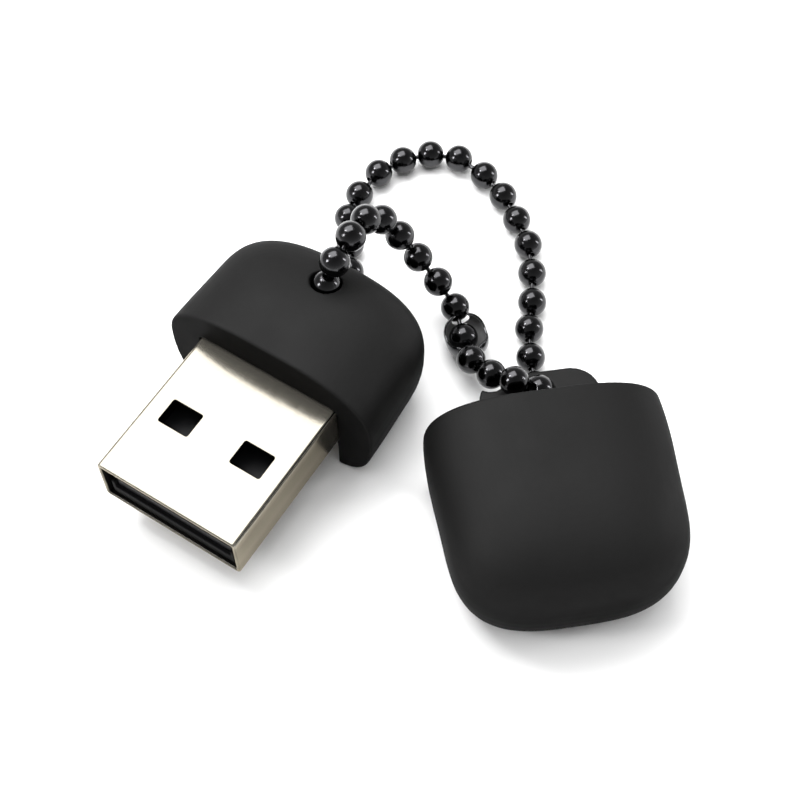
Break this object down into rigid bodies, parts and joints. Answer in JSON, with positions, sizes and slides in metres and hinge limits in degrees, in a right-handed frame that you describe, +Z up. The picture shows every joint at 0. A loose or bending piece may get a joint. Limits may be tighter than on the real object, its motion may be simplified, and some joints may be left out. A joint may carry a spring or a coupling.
{
  "type": "usb flash drive",
  "caption": "Small rubber-covered USB flash drive with a bare type A plug, its pull-off cap lying beside it, and a ball chain looped through both.",
  "frame": {"origin": "middle of the drive's and the cap's footprint, on the surface they lie on", "axes": "the plug points along -Y, +Z up"},
  "size_m": [0.0416, 0.0429, 0.0138],
  "materials": {
    "rubber": "matt, slightly soft black",
    "abs": "fine satin black",
    "steel": "bright nickel plated sheet",
    "gold": "gold plated",
    "board": "green solder mask",
    "chip": "moulded black epoxy",
    "ceramic": "tan, with tinned ends",
    "dark_chrome": "black nickel, mirror bright"
  },
  "bodies": {
    "drive": {"drive_sleeve": "rubber", "core_upper": "abs", "core_lower": "abs", "plug_shell": "steel", "plug_tray": "abs", "circuit_board": "board", "contact_power": "gold", "contact_data_minus": "gold", "contact_data_plus": "gold", "contact_ground": "gold", "flash_chip": "chip", "controller_chip": "chip", "crystal": "steel", "capacitor_1": "ceramic", "capacitor_2": "ceramic", "capacitor_3": "ceramic", "capacitor_4": "ceramic", "resistor_1": "chip", "resistor_2": "chip"},
    "chain": {"chain_connector": "dark_chrome", "chain_rear": "dark_chrome", "chain_front": "dark_chrome"},
    "cap": {"cap_sleeve": "rubber", "cap_liner": "abs"}
  },
  "joints": [
    {"name": "chain_swing", "type": "hinge", "parent": "drive", "child": "chain", "pos_m": [-0.01155, 0.00601, 0.0055], "axis": [0, 0, 1], "range_deg": [-25, 45], "deforming": ["chain_rear"]},
    {"name": "cap_swing", "type": "hinge", "parent": "chain", "child": "cap", "pos_m": [0.0046, 0.01058, 0.00255], "axis": [0, 0, 1], "range_deg": [-5, 60], "deforming": ["chain_front"]}
  ]
}
